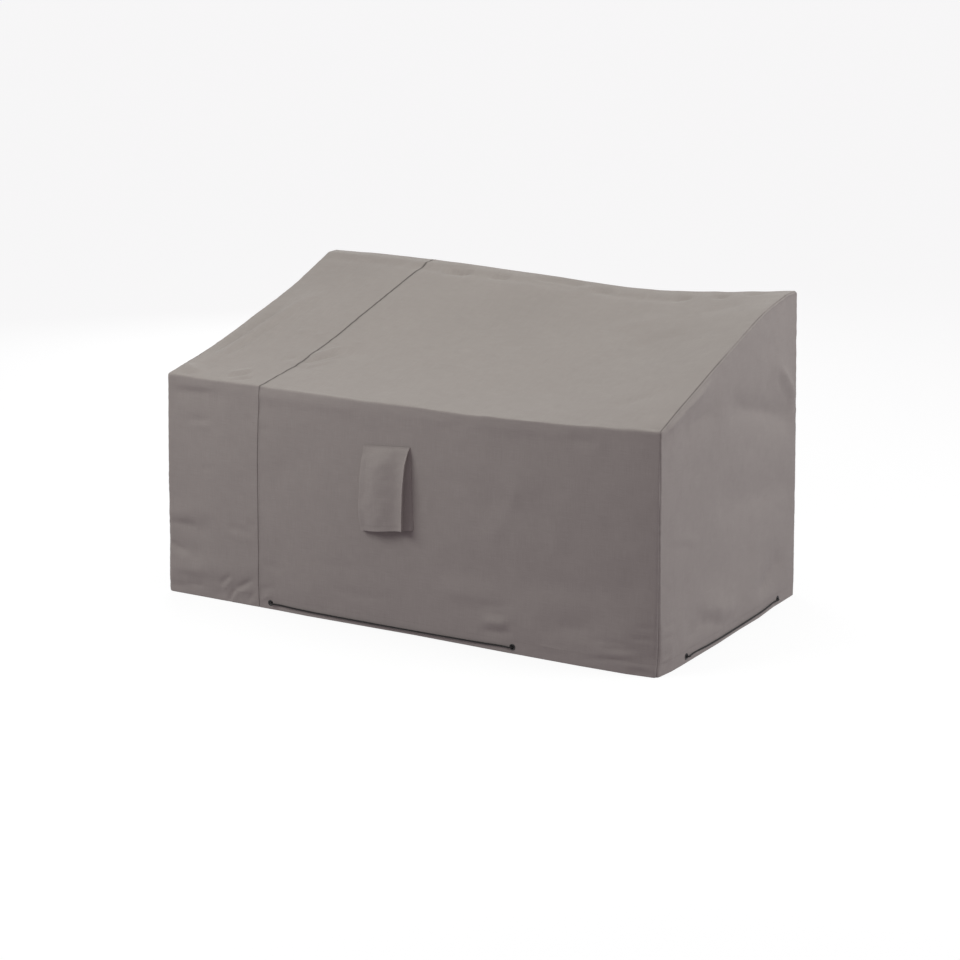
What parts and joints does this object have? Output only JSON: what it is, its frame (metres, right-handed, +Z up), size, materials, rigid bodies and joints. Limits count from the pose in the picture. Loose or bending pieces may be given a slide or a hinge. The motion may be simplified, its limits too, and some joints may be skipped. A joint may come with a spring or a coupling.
{
  "type": "patio sofa cover",
  "caption": "Fitted cloth cover for a patio sofa, with a sloping top, a vent hood on its front and a drawcord through eyelets in its hem.",
  "frame": {"origin": "on the ground, under the middle of the cover's box", "axes": "+X to the right along the front, +Z up, the front faces -Y"},
  "size_m": [1.64, 0.954, 0.8993],
  "materials": {
    "cover_cloth": "matt taupe grey woven polyester, coated on its inside",
    "eyelet_black": "black, half gloss",
    "drawcord_black": "black braid"
  },
  "bodies": {
    "root": {"main_band": "cover_cloth", "left_band": "cover_cloth", "right_side": "cover_cloth", "left_side": "cover_cloth", "vent_hood": "cover_cloth", "eyelet_front_left": "eyelet_black", "eyelet_front_right": "eyelet_black", "eyelet_back_left": "eyelet_black", "eyelet_back_right": "eyelet_black", "eyelet_right_near": "eyelet_black", "eyelet_right_far": "eyelet_black", "eyelet_left_near": "eyelet_black", "eyelet_left_far": "eyelet_black", "drawcord_front": "drawcord_black", "drawcord_back": "drawcord_black", "drawcord_right": "drawcord_black", "drawcord_left": "drawcord_black"}
  },
  "joints": []
}
